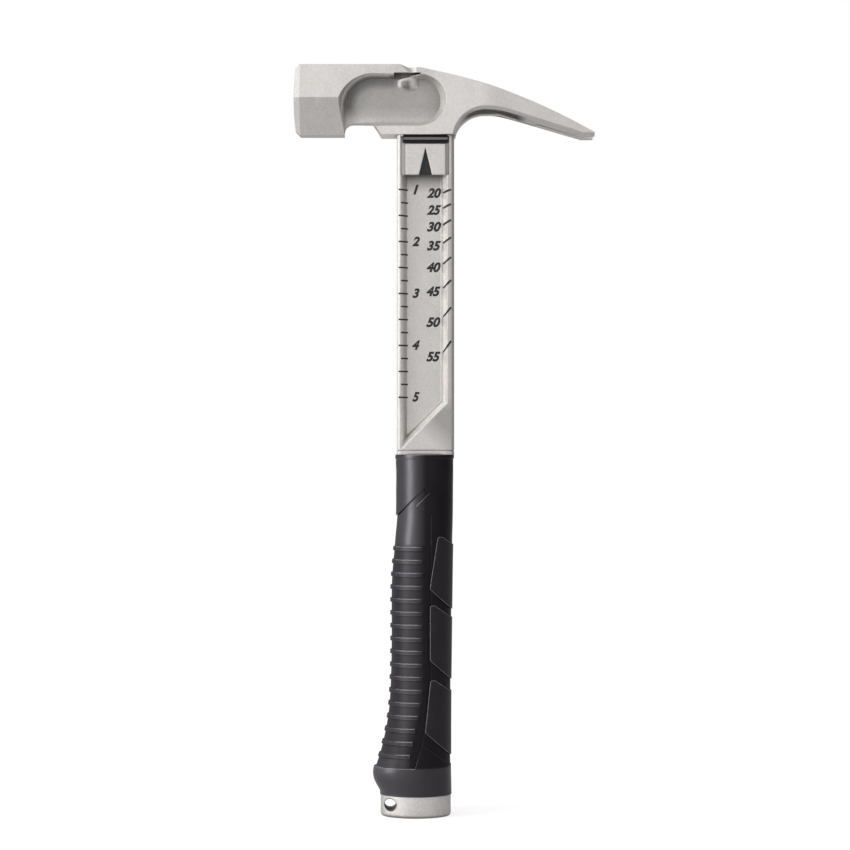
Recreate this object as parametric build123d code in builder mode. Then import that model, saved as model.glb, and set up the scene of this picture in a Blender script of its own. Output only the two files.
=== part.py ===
from build123d import *
from math import atan2, degrees, radians, sqrt, tan
import os

# Framing hammer with a cast head, a cast pocketed handle and a moulded rubber grip.
# Lengths are in millimetres and angles in degrees. The origin lies where the centre
# line of the handle meets the flat end of the butt. +Z runs up the handle, +X points
# to the claw, and the hammer is the same on both sides of the XZ plane.

# Whole tool
overall_length = 368.3
head_height = 34.3
overrun = 3.0

# Poll: a six-sided bar with a crowned striking face
face_reach = 64.8
face_crown_radius = 115.0
face_chamfer = 3.2
poll_width = 30.0
poll_bottom_width = 12.0
poll_ridge_height = 17.6
poll_shoulder_reach = 50.0
poll_swell_reach = 41.0
poll_swell_width = 29.0
poll_waist_reach = 17.0

# Cheeks: a thick rim round a thin web
cheek_reach = 31.0
cheek_thickness = 21.0
web_thickness = 10.0
pocket_poll_reach = 39.2
pocket_claw_reach = 7.5
pocket_top_margin = 6.8
pocket_bottom_margin = 6.3
pocket_poll_radius = 14.0
pocket_leg_width = 9.0
pocket_wall_angle = 21.0

# Nail puller: a notch right through the underside between poll and neck
puller_height = 6.0
puller_mouth_reach = 39.7
puller_top_reach = 35.5
puller_top_width = 9.6
puller_lip_reach = 23.6
puller_lip_height = 3.2
puller_foot_reach = 21.8

# Claw, seen from the side
neck_reach = 14.7
claw_arch_reach = 14.3
claw_arch_height = 12.0
claw_bend_length = 12.0
claw_bend_drop = 1.7
claw_flat_length = 5.6
claw_reach = 82.6
claw_tip_drop = 0.7
claw_tip_thickness = 1.7
claw_top_drop = 1.5
claw_top_start = 2.6
claw_top_sag = 3.4
keel_drop = 1.9
keel_knee_reach = 39.4
keel_end_reach = 58.5
keel_end_height = 3.5
keel_close_reach = 62.0
keel_close_height = 4.4
keel_root_height = 18.0
keel_half_width = 9.0
keel_flank_angle = 12.0

# Claw, seen from above
claw_flare_start = 3.0
claw_flare_end = 31.0
claw_width = 33.0
claw_tip_width = 22.6
claw_flare_round = 25.0
claw_edge_chamfer = 1.5
slot_throat_reach = 45.5
slot_throat_radius = 1.2
slot_mouth_width = 8.6

# Nail starter on top of the head: a groove for the shank, a recess for the nail's head
# with a magnet in its floor, and in each cheek a slanting window above the magnet boss
# with a notch that leads down to it
starter_ramp_start = 12.4
starter_ramp_end = 8.4
groove_radius = 2.2
groove_depth = 1.9
recess_length = 8.6
recess_width = 8.8
recess_depth = 4.6
window_poll_reach = 15.4
window_claw_reach = 2.3
window_top_drop = 4.1
window_poll_height = 3.4
window_claw_height = 0.7
notch_depth = 2.0
notch_wall_angle = 45.0
notch_foot_reach = 6.6
notch_foot_drop = 3.0
boss_reach = 8.4
boss_radius = 7.2
boss_drop = 12.4
boss_round = 3.0
magnet_radius = 4.0
magnet_thickness = 4.0
magnet_clearance = 0.1

# Handle bar, its tang in the head, and the cradle that holds the damping stack
handle_width = 28.0
handle_depth = 20.0
handle_edge_round = 1.8
foot_groove_height = 1.7
foot_groove_width = 0.5
foot_groove_depth = 0.3
tang_width = 16.0
tang_thickness = 6.0
tang_height = 18.0
tang_round = 1.5
tang_clearance = 0.15
pad_thickness = 1.35
spacer_thickness = 1.2
stack_width = 21.6
pad_inset = 0.8
spacer_inset = 0.4
stack_clearance = 0.1

# Raised plate with a pointer, under the neck on both sides
plate_width = 19.6
plate_height = 15.8
plate_recess = 1.8
plate_drop = 0.5
plate_edge = 0.5
plate_top_gap = 0.4
plate_front_gap = 2.3
plate_back_gap = 1.9
pointer_width = 6.4
pointer_height = 13.4
pointer_depth = 1.5

# Deep channel of the handle, on both sides, with a foot cut off at 45 degrees
channel_depth = 4.5
channel_wall = 2.9
channel_front = 12.0
channel_back = 10.6
channel_corner_height = 25.2

# Core that carries the grip
grip_length = 166.8
core_width = 19.0
core_depth = 12.0
core_round = 1.5
core_seat_depth = 6.5
core_clearance = 0.1

# Butt cap
cap_height = 10.7
cap_inset = 0.1
cap_foot_round = 1.6
cap_rim_round = 0.4
lanyard_radius = 3.0
lanyard_reach = 17.2
lanyard_height = 6.1
lanyard_chamfer = 0.6

# Grip: its reach to the front, reach to the back and depth where the palm lies, and
# the share of each at a row of heights above the cap
grip_front = 17.3
grip_back = 13.0
grip_depth = 27.2
grip_height_shares = (
    0.0, 0.029, 0.068, 0.11, 0.152, 0.206, 0.265, 0.33, 0.4, 0.47,
    0.54, 0.605, 0.665, 0.715, 0.765, 0.815, 0.865, 0.91, 0.955, 1.0,
)
grip_front_shares = (
    1.28, 1.38, 1.474, 1.36, 1.25, 1.14, 1.065, 1.03, 1.01, 1.004,
    1.004, 1.002, 0.975, 0.93, 0.89, 0.847, 0.838, 0.836, 0.836, 0.836,
)
grip_back_shares = (
    0.965, 0.955, 0.945, 0.935, 0.935, 0.935, 0.94, 0.945, 0.955, 0.965,
    0.975, 0.985, 0.995, 1.005, 1.02, 1.035, 1.04, 1.045, 1.05, 1.055,
)
grip_depth_shares = (
    1.03, 1.06, 1.08, 1.075, 1.06, 1.045, 1.02, 1.01, 1.0, 1.0,
    0.995, 0.995, 0.99, 0.985, 0.98, 0.975, 0.965, 0.96, 0.955, 0.955,
)

# Finger side of the grip: a smooth recess with a slanting slot at its top, and ribs
recess_relief = 0.7
slot_end_reach = 0.5
slot_end_height = 161.5
slot_width = 3.6
slot_lip_run = 6.6
finger_back = 2.6
finger_shelf_height = 148.0
finger_waist_height = 60.0
rib_count = 17
rib_pitch = 6.33
rib_thickness = 1.9
rib_first_height = 30.2
rib_back_reach = 1.5
rib_foot_reach = 7.8

# Flared collar at the foot of the grip and narrow lip at its top
lip_height = 2.0
collar_height = 24.5
collar_peak_height = 36.0
collar_peak_reach = 1.7
collar_step_reach = 5.1
collar_back_height = 25.0
collar_relief = 0.35

# Rear pads of the grip: heights above the cap as shares of the grip's length, and front
# corners as shares of the grip's reach to the back
panel_names = ("grip_panel_upper", "grip_panel_middle", "grip_panel_lower")
panel_top_shares = (0.759, 0.559, 0.34)
panel_foot_shares = (0.607, 0.398, 0.188)
panel_top_front_shares = (0.46, 0.17, 0.185)
panel_foot_front_shares = (0.16, 0.17, -0.01)
panel_top_run = 2.4
panel_top_angle = 37.0
panel_foot_angle = 43.0
panel_corner_round = 1.0
panel_relief = 0.55
panel_seat = 0.9

# Places that follow from the sizes
head_bottom = overall_length - head_height
ridge_z = head_bottom + poll_ridge_height
claw_top_z = overall_length - claw_top_drop
claw_tip_z = head_bottom - claw_tip_drop
crest_x = neck_reach + claw_arch_reach
crest_z = head_bottom + claw_arch_height
bend_x = crest_x + claw_bend_length
bend_z = crest_z - claw_bend_drop
recess_floor_z = overall_length - recess_depth
stack_height = 2 * pad_thickness + spacer_thickness
shoulder_z = head_bottom - stack_height
plate_foot_z = shoulder_z - plate_height
plate_top_z = shoulder_z - plate_top_gap
grip_top = cap_height + grip_length
core_foot_z = cap_height - core_seat_depth
grip_sections = tuple(zip(grip_height_shares, grip_front_shares, grip_back_shares, grip_depth_shares))

pieces = []


def keep(piece, name):
    """Label a finished piece and keep it for export."""
    piece.part.label = name
    pieces.append(piece.part)


def poll_corners(half_width):
    """Corners of half the poll's six-sided section, with its ridge at a half width."""
    return (
        (0, head_bottom),
        (-poll_bottom_width / 2, head_bottom),
        (-half_width, ridge_z),
        (-cheek_thickness / 2, overall_length),
        (0, overall_length),
    )


def grip_oval(section, growth, height):
    """Oval of four tangent arcs at a height, one section of the grip grown outwards."""
    front = section[1] * grip_front + growth
    back = section[2] * grip_back + growth
    half_length = (front + back) / 2
    half_depth = section[3] * grip_depth / 2 + growth
    end_radius = half_depth * half_depth / half_length
    end_offset = half_length - end_radius
    rise = half_depth - end_radius
    side_radius = (end_offset * end_offset + half_depth * half_depth - end_radius * end_radius) / (2 * rise)
    side_offset = side_radius - half_depth
    sweep = degrees(atan2(side_offset, end_offset))
    with BuildSketch(Plane(((back - front) / 2, 0, height))) as oval:
        with BuildLine():
            CenterArc((end_offset, 0), end_radius, -sweep, 2 * sweep)
            CenterArc((0, -side_offset), side_radius, sweep, 180 - 2 * sweep)
            CenterArc((-end_offset, 0), end_radius, 180 - sweep, 2 * sweep)
            CenterArc((0, side_offset), side_radius, 180 + sweep, 180 - 2 * sweep)
        make_face()
    return oval.sketch


def grip_form(growth):
    """Smooth body of the grip, grown outwards by a length."""
    with BuildPart() as form:
        loft(sections=[grip_oval(row, growth, cap_height + row[0] * grip_length) for row in grip_sections])
    return form.part


def band(outline, form, corner_round):
    """Layer right round a form of the grip over a side outline with rounded corners."""
    with BuildPart() as layer:
        with BuildSketch(Plane.XZ) as side:
            Polygon(*outline, align=None)
            fillet(side.vertices(), corner_round)
        extrude(amount=grip_depth, both=True)
        add(form, mode=Mode.SUBTRACT)
    return layer.part


def panel_outline(number):
    """Side outline of a rear pad, from its front corners to past the back of the grip."""
    top = cap_height + panel_top_shares[number] * grip_length
    foot = cap_height + panel_foot_shares[number] * grip_length
    top_front = panel_top_front_shares[number] * grip_back
    foot_front = panel_foot_front_shares[number] * grip_back
    end = grip_back + 2 * overrun
    return (
        (top_front, top),
        (top_front + panel_top_run, top),
        (end, top - (end - top_front - panel_top_run) * tan(radians(panel_top_angle))),
        (end, foot - (end - foot_front) * tan(radians(panel_foot_angle))),
        (foot_front, foot),
    )


# Poll, the half on the -Y side
with BuildPart() as poll_half:
    with BuildSketch(Plane.YZ.offset(-face_reach)):
        Polygon(*poll_corners(poll_width / 2), align=None)
    extrude(amount=face_reach - poll_shoulder_reach)
    face = poll_half.faces().sort_by(Axis.X)[0]
    outer = face.edges().sort_by(Axis.Y)[:-1]
    chamfer(outer, length=face_chamfer)
    with BuildSketch(Plane.YZ.offset(-poll_shoulder_reach)):
        Polygon(*poll_corners(poll_width / 2), align=None)
    with BuildSketch(Plane.YZ.offset(-poll_swell_reach)):
        Polygon(*poll_corners(poll_swell_width / 2), align=None)
    with BuildSketch(Plane.YZ.offset(-poll_waist_reach)):
        Polygon(*poll_corners(cheek_thickness / 2), align=None)
    loft(ruled=True)
    with Locations((face_crown_radius - face_reach, 0, head_bottom + head_height / 2)):
        Sphere(face_crown_radius, mode=Mode.INTERSECT)

# Cheek and claw, the half on the -Y side
with BuildPart() as claw_half:
    # Side outline: arched underside, thin tips, bowed top and the ramp of the starter
    with BuildSketch(Plane.XZ):
        with BuildLine():
            TangentArc((crest_x, crest_z), (neck_reach, head_bottom), tangent=(-1, 0))
            TangentArc((crest_x, crest_z), (bend_x, bend_z), tangent=(1, 0))
            Polyline(
                (bend_x, bend_z),
                (claw_reach - claw_flat_length, claw_tip_z),
                (claw_reach, claw_tip_z),
                (claw_reach, claw_tip_z + claw_tip_thickness),
            )
            SagittaArc(
                (claw_reach, claw_tip_z + claw_tip_thickness),
                (-claw_top_start, claw_top_z),
                -claw_top_sag,
            )
            Polyline(
                (-claw_top_start, claw_top_z),
                (-starter_ramp_end, claw_top_z),
                (-starter_ramp_start, overall_length),
                (-cheek_reach, overall_length),
                (-cheek_reach, head_bottom),
                (neck_reach, head_bottom),
            )
        make_face()
    extrude(amount=claw_width)
    # Plan outline: parallel cheeks, a flare, then a taper to the tips
    with BuildSketch(Plane.XY.offset(claw_tip_z - overrun)):
        with BuildLine():
            plan = Polyline(
                (-cheek_reach, 0),
                (-cheek_reach, -cheek_thickness / 2),
                (claw_flare_start, -cheek_thickness / 2),
                (claw_flare_end, -claw_width / 2),
                (claw_reach, -claw_tip_width / 2),
                (claw_reach, 0),
                close=True,
            )
        make_face()
        bends = plan.vertices().filter_by(lambda corner: claw_flare_start <= corner.X <= claw_flare_end)
        fillet(bends, claw_flare_round)
    extrude(amount=head_height + 2 * overrun + claw_tip_drop, mode=Mode.INTERSECT)
    # Bevel along the lower outer edge of the claw
    walls = claw_half.faces().filter_by(lambda side: side.center().Y < -claw_tip_width / 2)
    floor = claw_half.faces().filter_by(lambda side: side.normal_at().Z < -0.5 and side.center().X > neck_reach)
    shared = [edge for edge in walls.edges() if edge in floor.edges()]
    chamfer(shared, length=claw_edge_chamfer)

# Keel under the root of the claw, the half on the -Y side, with a sloping flank
with BuildPart() as keel:
    with BuildSketch(Plane.XZ):
        with BuildLine():
            TangentArc((crest_x, crest_z - keel_drop), (neck_reach, head_bottom), tangent=(-1, 0))
            Polyline(
                (crest_x, crest_z - keel_drop),
                (keel_knee_reach, crest_z - keel_drop),
                (keel_end_reach, head_bottom + keel_end_height),
                (keel_close_reach, head_bottom + keel_close_height),
                (keel_knee_reach, head_bottom + keel_root_height),
                (neck_reach, head_bottom + keel_root_height),
                (neck_reach, head_bottom),
            )
        make_face()
    extrude(amount=keel_half_width, taper=keel_flank_angle)

# Boss of the magnet, a round post that stands proud of the web on both sides
with BuildPart() as boss:
    with BuildSketch(Plane.XY.offset(overall_length - boss_drop)):
        with Locations((-boss_reach, 0)):
            Circle(boss_radius)
    extrude(amount=boss_drop - window_top_drop)
    fillet(boss.faces().sort_by(Axis.Z)[0].edges(), boss_round)

# Head: both halves, the cheek pockets, the puller notch, the nail slot and the starter
with BuildPart() as head:
    add(poll_half.part)
    add(claw_half.part)
    add(keel.part)
    # D-shaped pocket, open at its lower front corner, with sloping walls
    pocket_top_z = overall_length - pocket_top_margin
    pocket_foot_z = head_bottom + pocket_bottom_margin
    pocket_end_radius = (pocket_top_z - pocket_foot_z) / 2
    with BuildSketch(Plane.XZ.offset(web_thickness / 2)):
        with BuildLine():
            Polyline(
                (-pocket_poll_reach + pocket_leg_width, pocket_foot_z),
                (-pocket_poll_reach + pocket_leg_width, head_bottom - overrun),
                (-pocket_poll_reach, head_bottom - overrun),
                (-pocket_poll_reach, pocket_top_z - pocket_poll_radius),
            )
            JernArc((-pocket_poll_reach, pocket_top_z - pocket_poll_radius), (0, 1), pocket_poll_radius, -90)
            Line(
                (-pocket_poll_reach + pocket_poll_radius, pocket_top_z),
                (pocket_claw_reach - pocket_end_radius, pocket_top_z),
            )
            JernArc((pocket_claw_reach - pocket_end_radius, pocket_top_z), (1, 0), pocket_end_radius, -180)
            Line(
                (pocket_claw_reach - pocket_end_radius, pocket_foot_z),
                (-pocket_poll_reach + pocket_leg_width, pocket_foot_z),
            )
        make_face()
    extrude(amount=poll_width / 2, taper=-pocket_wall_angle, mode=Mode.SUBTRACT)
    mirror(about=Plane.XZ)
    add(boss.part)
    # Puller notch with a curved mouth on the poll's side and a lip on the neck's side
    with BuildSketch(Plane.XZ):
        with BuildLine():
            TangentArc(
                (-puller_top_reach, head_bottom + puller_height),
                (-puller_mouth_reach, head_bottom),
                tangent=(-1, 0),
            )
            Polyline(
                (-puller_mouth_reach, head_bottom),
                (-puller_mouth_reach, head_bottom - overrun),
                (-puller_foot_reach, head_bottom - overrun),
                (-puller_foot_reach, head_bottom),
                (-puller_lip_reach, head_bottom + puller_lip_height),
                (-puller_top_reach + puller_top_width, head_bottom + puller_height),
                (-puller_top_reach, head_bottom + puller_height),
            )
        make_face()
    extrude(amount=poll_width, both=True, mode=Mode.SUBTRACT)
    # Nail slot between the prongs of the claw
    with BuildSketch(Plane.XY.offset(claw_tip_z - overrun)):
        Polygon(
            (slot_throat_reach, slot_throat_radius),
            (slot_throat_reach, -slot_throat_radius),
            (claw_reach, -slot_mouth_width / 2),
            (claw_reach + overrun, -slot_mouth_width / 2),
            (claw_reach + overrun, slot_mouth_width / 2),
            (claw_reach, slot_mouth_width / 2),
            align=None,
        )
        with Locations((slot_throat_reach, 0)):
            Circle(slot_throat_radius)
    extrude(amount=head_height + 2 * overrun, mode=Mode.SUBTRACT)
    # Groove for the nail's shank, from the striking face to the recess
    with BuildSketch(Plane.YZ.offset(-face_reach - overrun)):
        with Locations((0, overall_length - groove_depth + groove_radius)):
            Circle(groove_radius)
    extrude(amount=face_reach + overrun - boss_reach, mode=Mode.SUBTRACT)
    # Recess for the nail's head and the bore of the magnet in its floor
    with BuildSketch(Plane.XY.offset(recess_floor_z)):
        with Locations((-boss_reach, 0)):
            Rectangle(recess_length, recess_width)
    extrude(amount=recess_depth + overrun, mode=Mode.SUBTRACT)
    with BuildSketch(Plane.XY.offset(recess_floor_z - magnet_thickness)):
        with Locations((-boss_reach, 0)):
            Circle(magnet_radius + magnet_clearance)
    extrude(amount=magnet_thickness, mode=Mode.SUBTRACT)
    # Slanting window in each cheek, as deep as the web
    window_top_z = overall_length - window_top_drop
    for side in (1, -1):
        with BuildSketch(Plane.XZ.offset(side * web_thickness / 2)):
            Polygon(
                (-window_poll_reach, window_top_z),
                (-window_claw_reach, window_top_z),
                (-window_claw_reach, window_top_z - window_claw_height),
                (-window_poll_reach, window_top_z - window_poll_height),
                align=None,
            )
        extrude(amount=side * poll_width, mode=Mode.SUBTRACT)
    # Notch in the edge of each cheek, with walls that slope down to its foot
    for side in (1, -1):
        with BuildSketch(Plane.XZ.offset(side * (cheek_thickness / 2 - notch_depth))):
            Polygon(
                (-notch_foot_reach, overall_length - notch_foot_drop),
                (-notch_foot_reach, overall_length + overrun),
                (-notch_foot_reach - notch_foot_drop - overrun, overall_length + overrun),
                align=None,
            )
        extrude(amount=side * (notch_depth + overrun), taper=-notch_wall_angle, mode=Mode.SUBTRACT)
    # Socket of the handle's tang
    with BuildSketch(Plane.XY.offset(head_bottom)):
        RectangleRounded(tang_width + 2 * tang_clearance, tang_thickness + 2 * tang_clearance, tang_round)
    extrude(amount=tang_height + tang_clearance, mode=Mode.SUBTRACT)
keep(head, "head")

# Magnet of the nail starter, a disc in the floor of the recess
with BuildPart() as nail_magnet:
    with BuildSketch(Plane.XY.offset(recess_floor_z - magnet_thickness)):
        with Locations((-boss_reach, 0)):
            Circle(magnet_radius)
    extrude(amount=magnet_thickness)
keep(nail_magnet, "nail_magnet")

# Damping stack between handle and head: a metal spacer between two rubber pads
stack = (
    ("neck_pad_lower", shoulder_z, pad_thickness, pad_inset),
    ("neck_spacer", shoulder_z + pad_thickness, spacer_thickness, spacer_inset),
    ("neck_pad_upper", head_bottom - pad_thickness, pad_thickness, pad_inset),
)
for name, foot_z, thickness, inset in stack:
    with BuildPart() as neck_layer:
        with BuildSketch(Plane.XY.offset(foot_z)):
            Rectangle(stack_width, handle_depth - 2 * inset)
            RectangleRounded(
                tang_width + 2 * tang_clearance,
                tang_thickness + 2 * tang_clearance,
                tang_round,
                mode=Mode.SUBTRACT,
            )
        extrude(amount=thickness)
    keep(neck_layer, name)

# Handle, modelled on the -Y side and mirrored
with BuildPart() as handle:
    with BuildSketch(Plane.XY.offset(grip_top)):
        RectangleRounded(handle_width, handle_depth, handle_edge_round)
    extrude(amount=head_bottom - grip_top)
    # Cradle of the damping stack, between two horns that reach up to the head
    with BuildSketch(Plane.XY.offset(shoulder_z)):
        Rectangle(stack_width + 2 * stack_clearance, handle_depth + 2 * overrun)
    extrude(amount=stack_height + overrun, mode=Mode.SUBTRACT)
    with BuildSketch(Plane.XY.offset(shoulder_z)):
        RectangleRounded(tang_width, tang_thickness, tang_round)
    extrude(amount=stack_height + tang_height)
    # Core inside the grip
    with BuildSketch(Plane.XY.offset(core_foot_z)):
        RectangleRounded(core_width, core_depth, core_round)
    extrude(amount=grip_top - core_foot_z)
    # Deep channel with sloping walls, from the raised plate down to a slanting foot
    channel_corner_z = grip_top + channel_corner_height
    channel_foot_z = channel_corner_z - channel_front - channel_back
    corner_rise = channel_wall * (sqrt(2) - 1)
    with BuildSketch(Plane.XZ.offset(handle_depth / 2)):
        Polygon(
            (-channel_front, plate_foot_z),
            (-channel_front, channel_foot_z),
            (channel_back, channel_corner_z),
            (channel_back, plate_foot_z),
            align=None,
        )
    with BuildSketch(Plane.XZ.offset(handle_depth / 2 - channel_depth)):
        Polygon(
            (-channel_front + channel_wall, plate_foot_z),
            (-channel_front + channel_wall, channel_foot_z + 2 * channel_wall + corner_rise),
            (channel_back - channel_wall, channel_corner_z + corner_rise),
            (channel_back - channel_wall, plate_foot_z),
            align=None,
        )
    loft(ruled=True, mode=Mode.SUBTRACT)
    # Shallow recess under the neck, with the raised plate in it
    with BuildSketch(Plane.XZ.offset(handle_depth / 2 - plate_recess)):
        Polygon(
            (-plate_width / 2 - plate_front_gap, plate_foot_z),
            (plate_width / 2 + plate_back_gap, plate_foot_z),
            (plate_width / 2 + plate_back_gap, shoulder_z + overrun),
            (-plate_width / 2 - plate_front_gap, shoulder_z + overrun),
            align=None,
        )
    extrude(amount=plate_recess + overrun, mode=Mode.SUBTRACT)
    with BuildSketch(Plane.XZ.offset(handle_depth / 2 - plate_recess)):
        Polygon(
            (-plate_width / 2, plate_foot_z),
            (plate_width / 2, plate_foot_z),
            (plate_width / 2, plate_top_z),
            (-plate_width / 2, plate_top_z),
            align=None,
        )
    extrude(amount=plate_recess - plate_drop)
    plate_face = handle.faces().filter_by(Axis.Y).group_by(Axis.Y)[1].sort_by(SortBy.AREA)[-1]
    chamfer(plate_face.edges().group_by(Axis.Z)[-1], length=plate_edge)
    # Pointer sunk into the plate
    with BuildSketch(Plane.XZ.offset(handle_depth / 2 - plate_drop - pointer_depth)):
        Polygon(
            (-pointer_width / 2, plate_foot_z),
            (pointer_width / 2, plate_foot_z),
            (0, plate_foot_z + pointer_height),
            align=None,
        )
    extrude(amount=pointer_depth + overrun, mode=Mode.SUBTRACT)
    # Fine groove round the foot of the metal
    with BuildSketch(Plane.XY.offset(grip_top + foot_groove_height)):
        Rectangle(handle_width + 2 * overrun, handle_depth + 2 * overrun)
        RectangleRounded(
            handle_width - 2 * foot_groove_depth,
            handle_depth - 2 * foot_groove_depth,
            handle_edge_round,
            mode=Mode.SUBTRACT,
        )
    extrude(amount=foot_groove_width, mode=Mode.SUBTRACT)
    split(bisect_by=Plane.XZ, keep=Keep.TOP)
    mirror(about=Plane.XZ)
keep(handle, "handle")

# Outlines of the grip's finger side and of its collar, seen from the side
slot_step = slot_width / sqrt(2)
grip_reach = 2 * grip_front
finger_outline = (
    (-grip_reach, slot_end_height + slot_end_reach - grip_reach),
    (-slot_end_reach, slot_end_height),
    (-slot_end_reach + slot_step, slot_end_height - slot_step),
    (-slot_end_reach + slot_step - slot_lip_run, slot_end_height - slot_step - slot_lip_run),
    (finger_back, finger_shelf_height),
    (finger_back, finger_waist_height),
    (-collar_peak_reach, collar_peak_height),
    (-collar_step_reach, collar_height),
    (-grip_reach, collar_height),
)
collar_outline = (
    (-grip_reach, cap_height),
    (-grip_reach, collar_height),
    (-collar_step_reach, collar_height),
    (-collar_peak_reach, collar_peak_height),
    (grip_back, collar_back_height),
    (grip_reach, collar_back_height),
    (grip_reach, cap_height),
)
lip_outline = (
    (-grip_reach, grip_top - lip_height),
    (grip_reach, grip_top - lip_height),
    (grip_reach, grip_top),
    (-grip_reach, grip_top),
)

# Collar and lip of the grip
with BuildPart() as collar:
    with BuildSketch(Plane.XZ):
        Polygon(*collar_outline, align=None)
        Polygon(*lip_outline, align=None)
    extrude(amount=grip_depth, both=True)
    add(grip_form(collar_relief), mode=Mode.INTERSECT)

# Layer taken off the finger side, but for the ribs, which get shorter towards the collar
with BuildPart() as finger_layer:
    with BuildSketch(Plane.XZ):
        Polygon(*finger_outline, align=None)
        for number in range(rib_count):
            middle = rib_first_height + number * rib_pitch
            fall_share = max(0, (finger_waist_height - middle) / (finger_waist_height - rib_first_height))
            back = -rib_back_reach - fall_share * (rib_foot_reach - rib_back_reach)
            Polygon(
                (-grip_reach, middle - rib_thickness / 2),
                (back, middle - rib_thickness / 2),
                (back, middle + rib_thickness / 2),
                (-grip_reach, middle + rib_thickness / 2),
                align=None,
                mode=Mode.SUBTRACT,
            )
    extrude(amount=grip_depth, both=True)
    add(grip_form(-recess_relief), mode=Mode.SUBTRACT)

# Blanks of the rear pads, from the floors of their seats outwards
seat_form = grip_form(-panel_seat)
blanks = [band(panel_outline(number), seat_form, panel_corner_round) for number in range(len(panel_names))]

# Grip sleeve, moulded round the core
with BuildPart() as grip_sleeve:
    add(grip_form(0))
    add(finger_layer.part, mode=Mode.SUBTRACT)
    add(collar.part)
    for blank in blanks:
        add(blank, mode=Mode.SUBTRACT)
    with BuildSketch(Plane.XY.offset(cap_height)):
        RectangleRounded(core_width, core_depth, core_round)
    extrude(amount=grip_length, mode=Mode.SUBTRACT)
keep(grip_sleeve, "grip_sleeve")

# Rear pads, each let into the sleeve and wrapped round its back
pad_form = grip_form(panel_relief)
for blank, name in zip(blanks, panel_names):
    with BuildPart() as grip_panel:
        add(blank)
        add(pad_form, mode=Mode.INTERSECT)
    keep(grip_panel, name)

# Butt cap, bonded on the end of the core, with a lanyard hole
with BuildPart() as butt_cap:
    extrude(grip_oval(grip_sections[0], -cap_inset, 0), amount=cap_height)
    fillet(butt_cap.faces().sort_by(Axis.Z)[0].edges(), cap_foot_round)
    fillet(butt_cap.faces().sort_by(Axis.Z)[-1].edges(), cap_rim_round)
    with BuildSketch(Plane.XZ):
        with Locations((-lanyard_reach, lanyard_height)):
            Circle(lanyard_radius)
    extrude(amount=grip_depth, both=True, mode=Mode.SUBTRACT)
    hole_wall = butt_cap.faces().filter_by(GeomType.CYLINDER).sort_by(lambda side: side.radius)[0]
    chamfer(hole_wall.edges().filter_by(GeomType.LINE, reverse=True), length=lanyard_chamfer)
    with BuildSketch(Plane.XY.offset(core_foot_z)):
        RectangleRounded(core_width + 2 * core_clearance, core_depth + 2 * core_clearance, core_round)
    extrude(amount=core_seat_depth + overrun, mode=Mode.SUBTRACT)
keep(butt_cap, "butt_cap")

os.makedirs("parts", exist_ok=True)
for piece in pieces:
    export_step(piece, f"parts/{piece.label}.step")
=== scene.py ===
from math import radians, sin, tan

import bpy
from mathutils import Matrix, Vector


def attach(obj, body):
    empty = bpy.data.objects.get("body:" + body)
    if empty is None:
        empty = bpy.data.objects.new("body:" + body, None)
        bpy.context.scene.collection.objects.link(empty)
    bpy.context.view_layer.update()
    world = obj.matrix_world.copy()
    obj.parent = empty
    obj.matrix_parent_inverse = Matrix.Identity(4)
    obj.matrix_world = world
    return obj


bl_info = {
    "name": "Framing hammer",
    "version": (1, 0, 0),
    "blender": (4, 5, 0),
    "location": "View3D > Sidebar > Hammer",
    "description": "Dresses the packed frame of a framing hammer with finishes and graduations",
    "category": "Object",
}

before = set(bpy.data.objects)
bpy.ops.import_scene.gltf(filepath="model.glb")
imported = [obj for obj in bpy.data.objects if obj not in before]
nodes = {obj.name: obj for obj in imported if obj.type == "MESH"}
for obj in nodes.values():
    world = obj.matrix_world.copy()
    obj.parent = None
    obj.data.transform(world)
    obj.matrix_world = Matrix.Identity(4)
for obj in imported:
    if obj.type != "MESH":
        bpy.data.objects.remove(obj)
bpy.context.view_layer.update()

MM = 0.001

# Channel of the handle on the side that carries the graduations, in millimetres: the
# handle's face, the channel's floor, and where the sloping walls meet the two
FACE_Y = -10.0
FLOOR_Y = -5.5
LEFT_TOP = -12.0
LEFT_FOOT = -9.1
RIGHT_FOOT = 7.7
RIGHT_TOP = 10.6

# Ribs of the grip, in millimetres: middle of the lowest one, step to the next one, steps
RIB_FIRST = 30.2
RIB_PITCH = 6.33
RIB_STEPS = 16

# Middle of the pocket's round corner above the poll, seen from the side, in millimetres
CORNER_X = -25.2
CORNER_Z = 347.5

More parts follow.
